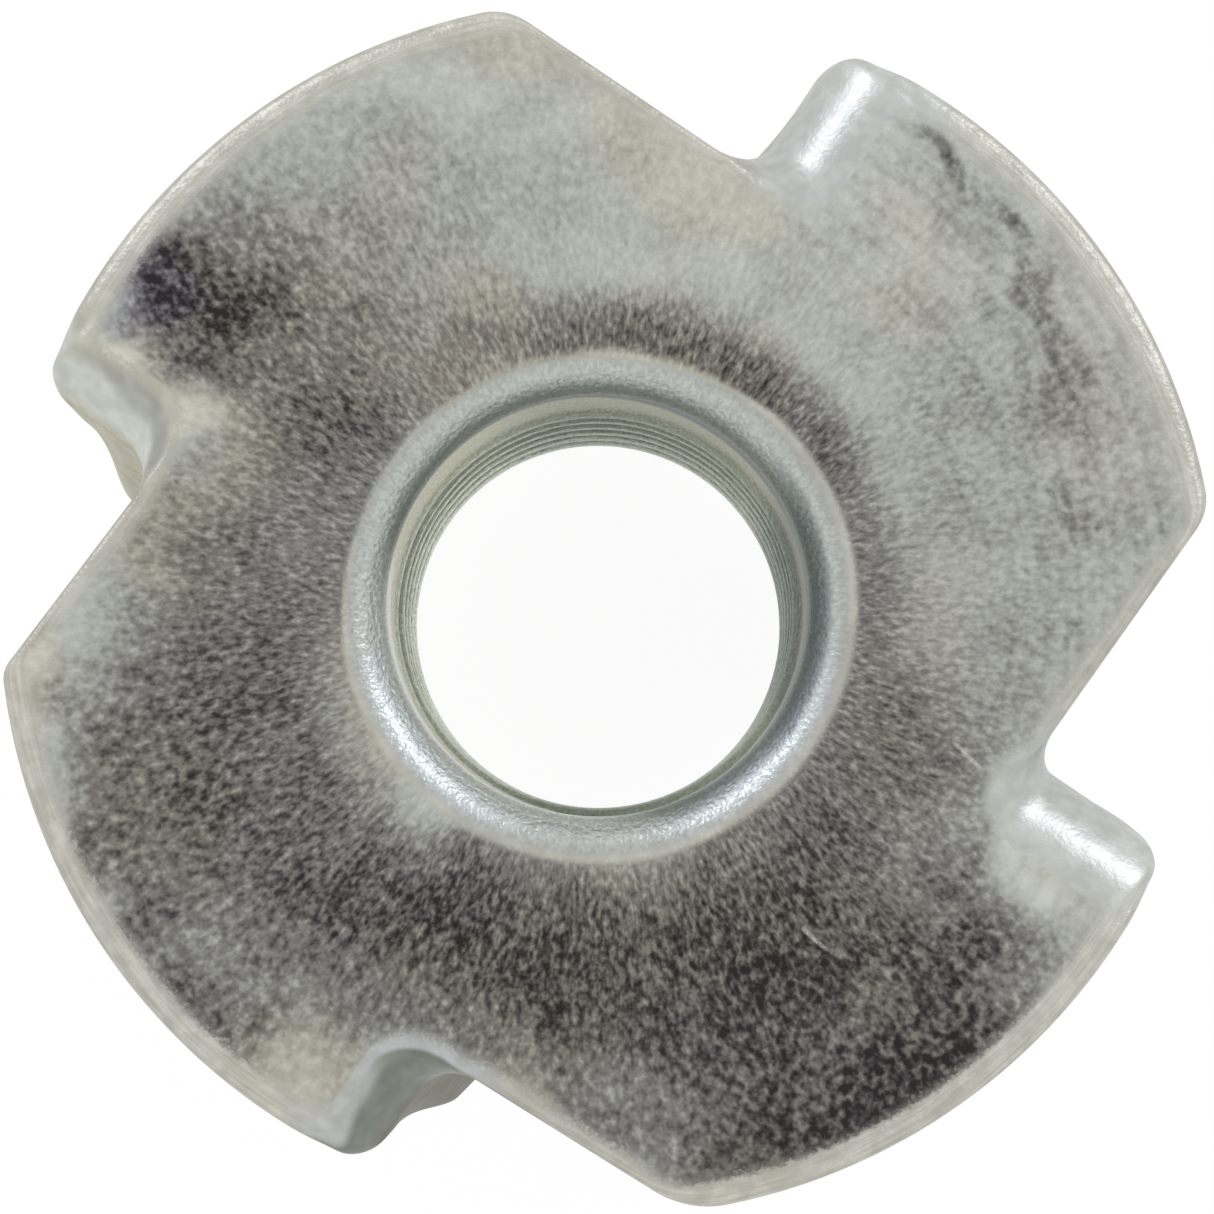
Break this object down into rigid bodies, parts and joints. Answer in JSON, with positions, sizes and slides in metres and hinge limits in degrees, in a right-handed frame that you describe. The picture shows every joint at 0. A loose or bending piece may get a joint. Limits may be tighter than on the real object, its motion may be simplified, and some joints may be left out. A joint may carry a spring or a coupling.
{
  "type": "tee nut",
  "caption": "Zinc-plated steel tee nut: a short threaded barrel under a round flange whose rim is folded down into prongs that bite into wood.",
  "frame": {"origin": "on the thread's axis, at the barrel's open end, where the nut stands", "axes": "+Z along the axis, from the barrel's end to the flange's driving face; +X square to one of the sheared edges"},
  "size_m": [0.0254, 0.0254, 0.013],
  "materials": {
    "zinc_plate": "zinc plated, satin, with a fine grain"
  },
  "bodies": {
    "root": {"tee_nut": "zinc_plate"}
  },
  "joints": []
}
